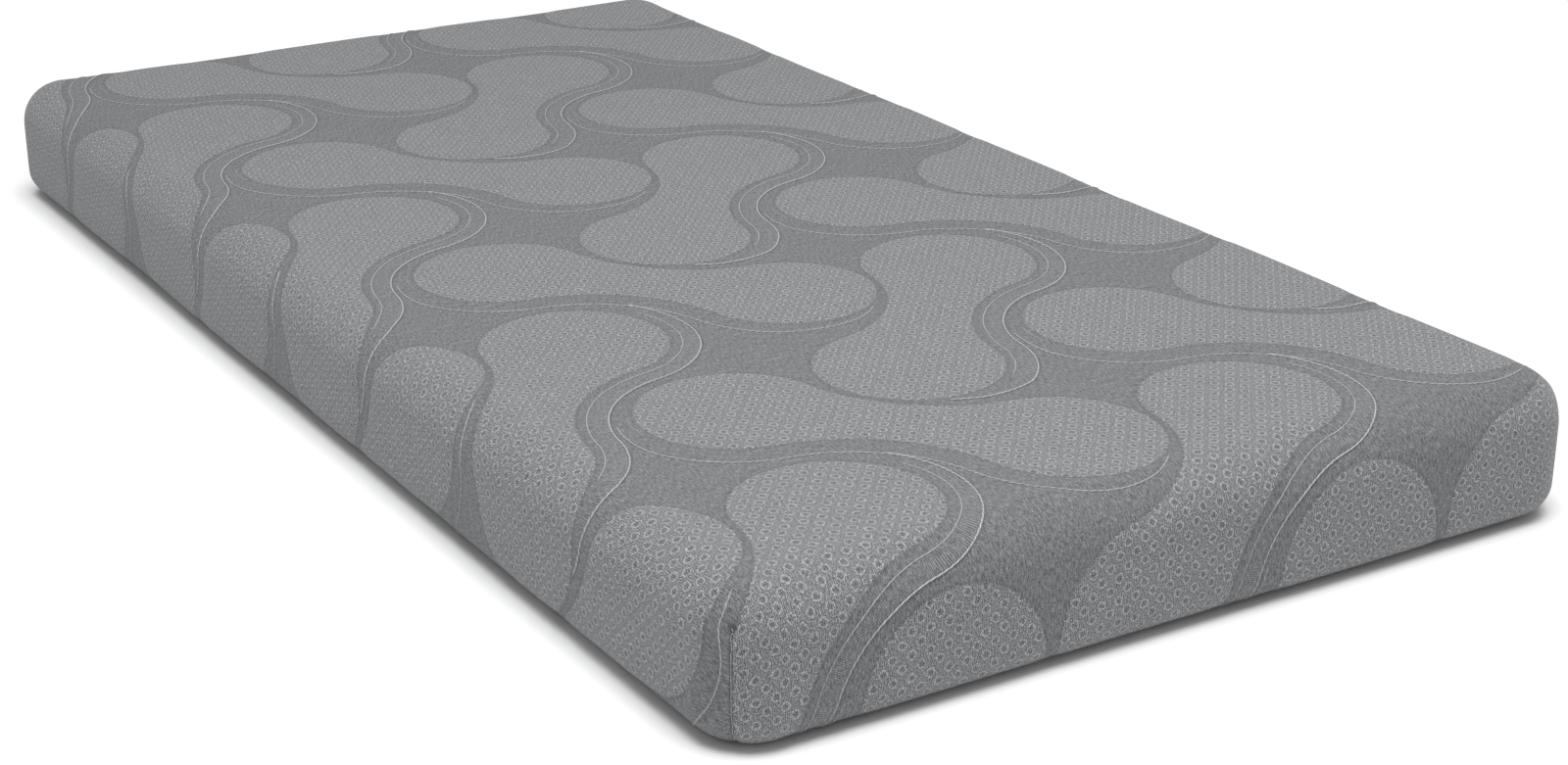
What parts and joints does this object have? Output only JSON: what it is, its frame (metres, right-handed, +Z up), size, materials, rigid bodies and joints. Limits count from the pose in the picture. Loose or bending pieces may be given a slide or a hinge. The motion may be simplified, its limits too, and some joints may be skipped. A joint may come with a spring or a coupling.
{
  "type": "memory foam mattress",
  "caption": "Twin memory foam mattress: bonded foam layers in a knit sleeve, inside a zipped cover with a quilted honeycomb jacquard top and sides.",
  "frame": {"origin": "middle of the underside, where the mattress rests", "axes": "+X across the width towards the zip, +Y along the length towards the head end, +Z up"},
  "size_m": [0.9943, 1.9063, 0.1524],
  "materials": {
    "cover_knit": "double-knit melange jacquard with raised honeycomb figures",
    "base_cloth": "plain brushed polyester knit",
    "seam_thread": "spun polyester sewing thread",
    "sleeve_knit": "tubular rib knit of treated rayon",
    "memory_foam": "open-cell viscoelastic foam, fine pores",
    "transition_foam": "open-cell polyurethane foam",
    "support_foam": "open-cell high-density polyurethane foam",
    "foam_adhesive": "sprayed water-based foam adhesive, cured",
    "zip_tape": "woven polyester tape",
    "zip_coil": "nylon monofilament coil",
    "zip_metal": "plated zinc, satin",
    "label_cloth": "blank woven taffeta"
  },
  "bodies": {
    "mattress": {"cover_top_panel": "cover_knit", "cover_base_panel": "base_cloth", "base_seam_overlock": "seam_thread", "corner_seam_foot_left": "seam_thread", "corner_seam_foot_right": "seam_thread", "corner_seam_head_left": "seam_thread", "corner_seam_head_right": "seam_thread", "zipper_tape_upper": "zip_tape", "zipper_tape_lower": "zip_tape", "zipper_coil_upper": "zip_coil", "zipper_coil_lower": "zip_coil", "zipper_top_stops": "zip_metal", "zipper_bottom_stop": "zip_metal", "zipper_stitching": "seam_thread", "law_label": "label_cloth", "label_stitching": "seam_thread", "fire_barrier_sleeve": "sleeve_knit", "sleeve_seam_head": "seam_thread", "sleeve_seam_foot": "seam_thread", "memory_foam_layer": "memory_foam", "adhesive_film_upper": "foam_adhesive", "transition_foam_layer": "transition_foam", "adhesive_film_lower": "foam_adhesive", "support_foam_core": "support_foam"},
    "slider": {"zipper_slider": "zip_metal"},
    "pull_tab": {"zipper_pull_tab": "zip_metal"}
  },
  "joints": [
    {"name": "slider_travel", "type": "slide", "parent": "mattress", "child": "slider", "axis": [0, -1, 0], "range_m": [0, 1.684]},
    {"name": "pull_tab_swing", "type": "hinge", "parent": "slider", "child": "pull_tab", "pos_m": [0.49705, 0.842, 0.054], "axis": [0, 0, 1], "range_deg": [0, 170]}
  ]
}
